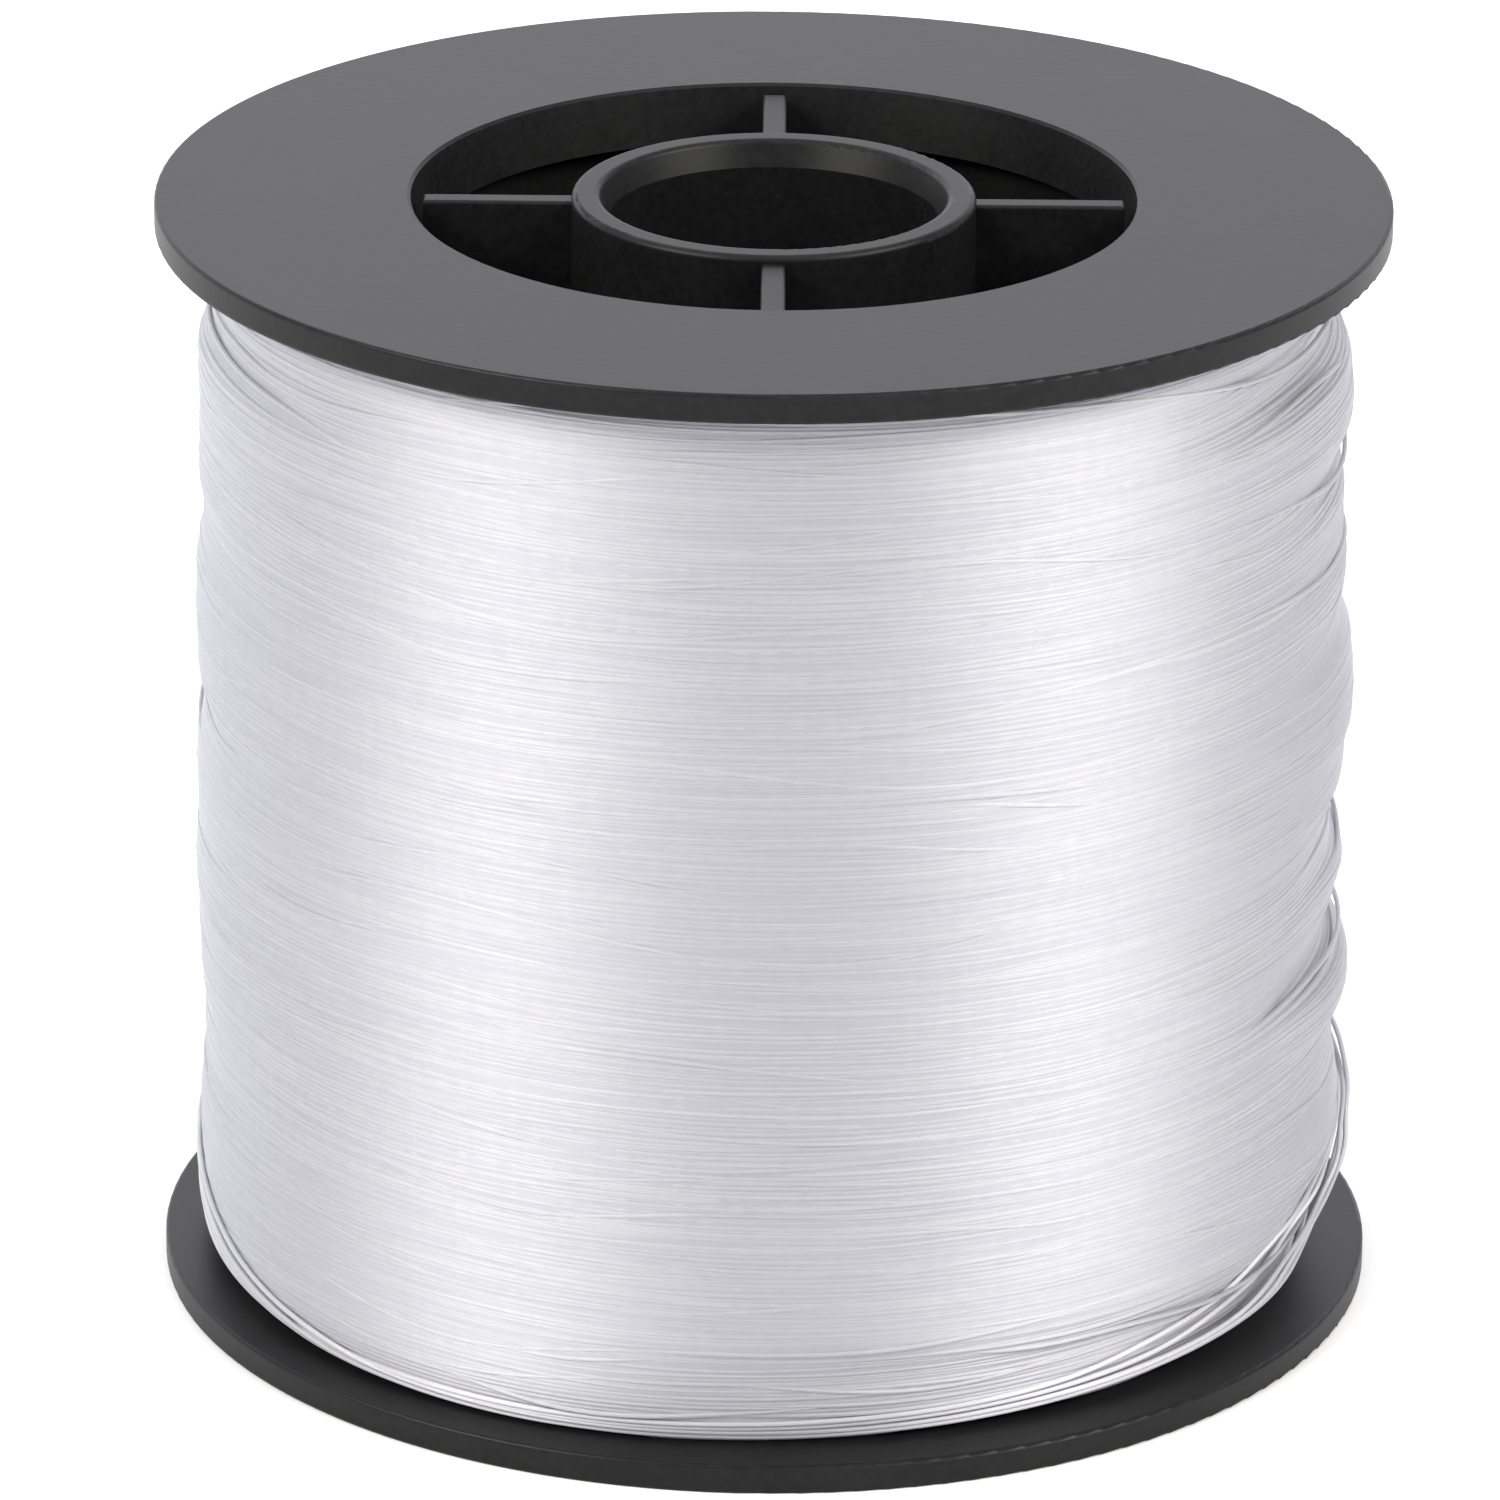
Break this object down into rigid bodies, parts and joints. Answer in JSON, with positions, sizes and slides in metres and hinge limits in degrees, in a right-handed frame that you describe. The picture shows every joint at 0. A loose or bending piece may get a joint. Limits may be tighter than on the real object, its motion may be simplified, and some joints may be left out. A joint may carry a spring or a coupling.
{
  "type": "fishing line spool",
  "caption": "Black plastic bulk spool with a webbed hub and an open bore, wound full of clear white nylon fishing line.",
  "frame": {"origin": "Centre of the spool's axis on the surface it stands on, the lower flange's outer face.", "axes": "+Z is the spool's axis, from the lower flange to the upper one. +X and +Y lie along the hub's webs, and the clear tape over the line's end is at +Y."},
  "size_m": [0.066, 0.066, 0.061],
  "materials": {
    "black_plastic": "satin moulded, finely textured",
    "nylon_line": "clear white nylon, glossy",
    "clear_tape": "clear film"
  },
  "bodies": {
    "root": {"lower_flange": "black_plastic", "upper_flange": "black_plastic", "barrel": "black_plastic", "hub": "black_plastic", "line_winding": "nylon_line", "loose_turns": "nylon_line", "line_start": "nylon_line", "line_end": "nylon_line", "end_tape": "clear_tape"}
  },
  "joints": []
}
